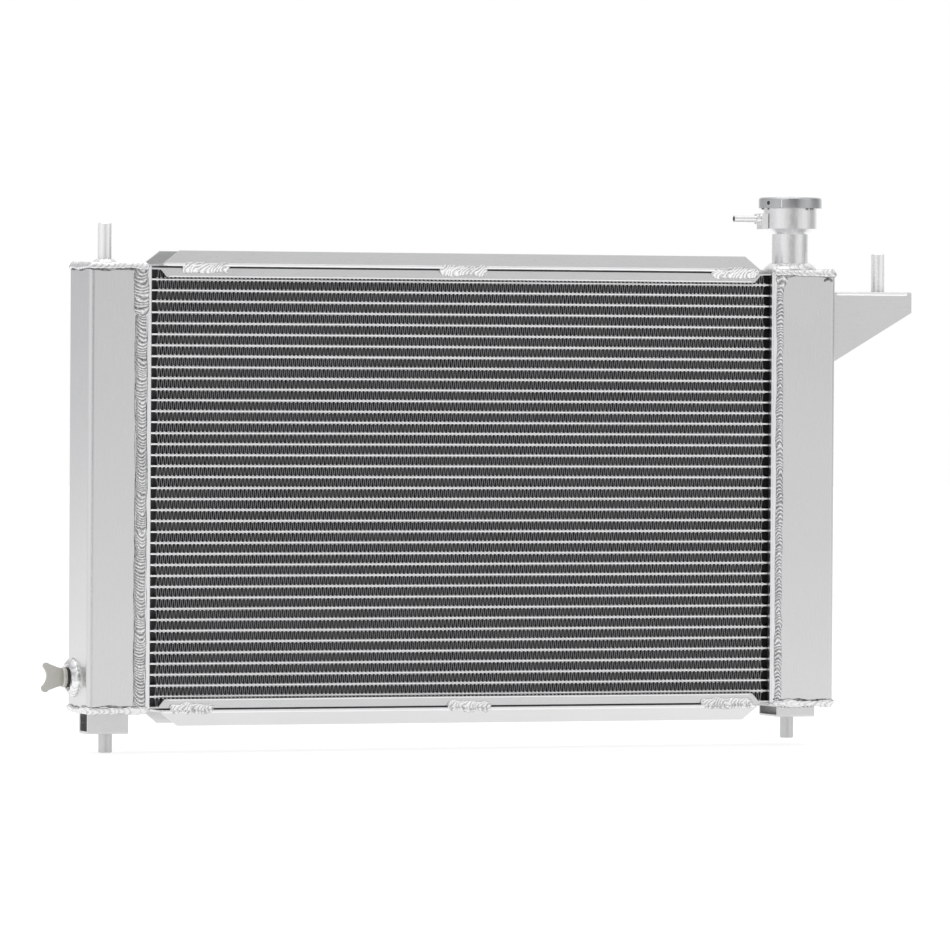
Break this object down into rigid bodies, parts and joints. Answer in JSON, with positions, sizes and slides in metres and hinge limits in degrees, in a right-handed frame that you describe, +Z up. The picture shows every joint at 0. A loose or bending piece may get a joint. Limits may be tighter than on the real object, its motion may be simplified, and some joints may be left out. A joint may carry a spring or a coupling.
{
  "type": "car radiator",
  "caption": "Welded aluminium crossflow car radiator with pin mounts, rear hose necks, a bayonet pressure cap and a wing drain plug.",
  "frame": {"origin": "midway between the two lower pins, in the plane of the left foot's underside, at mid depth", "axes": "+X to the right seen from the front, +Y to the rear, towards the engine, +Z up along the pins"},
  "size_m": [0.848, 0.1037, 0.5147],
  "materials": {
    "tubes": "satin brazed flat tube, bright rounded noses",
    "fins": "thin matt folded fin, dark in the depth of the core",
    "sheet": "satin mill-finish sheet",
    "tank": "fine satin-brushed sheet",
    "welds": "bright rippled weld bead",
    "machined": "turned, fine satin",
    "rubber": "smooth black rubber",
    "zinc": "warm grey plated casting, slightly pitted",
    "stainless": "polished stainless steel",
    "plated_steel": "zinc plated pressed steel",
    "spring_steel": "drawn spring wire",
    "brass": "turned brass"
  },
  "bodies": {
    "root": {"front_row_tubes": "tubes", "rear_row_tubes": "tubes", "cooling_fins": "fins", "left_header": "sheet", "right_header": "sheet", "top_side_plate": "sheet", "bottom_side_plate": "sheet", "top_shroud_channel": "sheet", "bottom_shroud_channel": "sheet", "channel_stitch_welds": "welds", "left_tank": "tank", "left_tank_top_cap": "tank", "left_tank_bottom_cap": "tank", "right_tank": "tank", "right_tank_top_cap": "tank", "right_tank_bottom_cap": "tank", "upper_left_pin": "machined", "upper_right_pin": "machined", "lower_left_pin": "machined", "lower_right_pin": "machined", "right_mount_bracket": "sheet", "lower_left_foot": "sheet", "lower_right_foot": "sheet", "inlet_neck": "machined", "outlet_neck": "machined", "drain_bung": "machined", "filler_tube": "machined", "filler_neck": "machined", "overflow_nipple": "machined"},
    "cap": {"cap_shell": "stainless", "cap_gasket": "rubber", "cap_diaphragm": "plated_steel", "cap_bell": "plated_steel", "cap_rivet": "stainless", "pressure_spring": "spring_steel"},
    "pressure_valve": {"pressure_plate": "plated_steel", "pressure_seal": "rubber", "vacuum_spring": "spring_steel"},
    "vacuum_valve": {"vacuum_valve": "brass"},
    "drain_ring": {"drain_seal": "rubber"},
    "drain_plug": {"drain_plug": "zinc"}
  },
  "joints": [
    {"name": "cap_twist", "type": "hinge", "parent": "root", "child": "cap", "pos_m": [0.3372, 0, 0.474], "axis": [0, 0, 1], "range_deg": [0, 90]},
    {"name": "pressure_relief", "type": "slide", "parent": "cap", "child": "pressure_valve", "axis": [0, 0, 1], "range_m": [0, 0.003], "stiffness_N_per_m": 300, "springref_m": -0.001, "deforming": ["pressure_spring"]},
    {"name": "vacuum_relief", "type": "slide", "parent": "pressure_valve", "child": "vacuum_valve", "axis": [0, 0, -1], "range_m": [0, 0.0012], "stiffness_N_per_m": 25, "springref_m": -0.0025, "deforming": ["vacuum_spring"]},
    {"name": "drain_travel", "type": "slide", "parent": "root", "child": "drain_ring", "axis": [-1, 0, 0], "range_m": [0, 0.0045]},
    {"name": "drain_turn", "type": "hinge", "parent": "drain_ring", "child": "drain_plug", "pos_m": [-0.374, 0.012, 0.051], "axis": [-1, 0, 0], "range_deg": [0, 1080]}
  ],
  "couplings": [
    {"joint": "drain_travel", "follows": "drain_turn", "m_per_rad": 0.00023873}
  ]
}
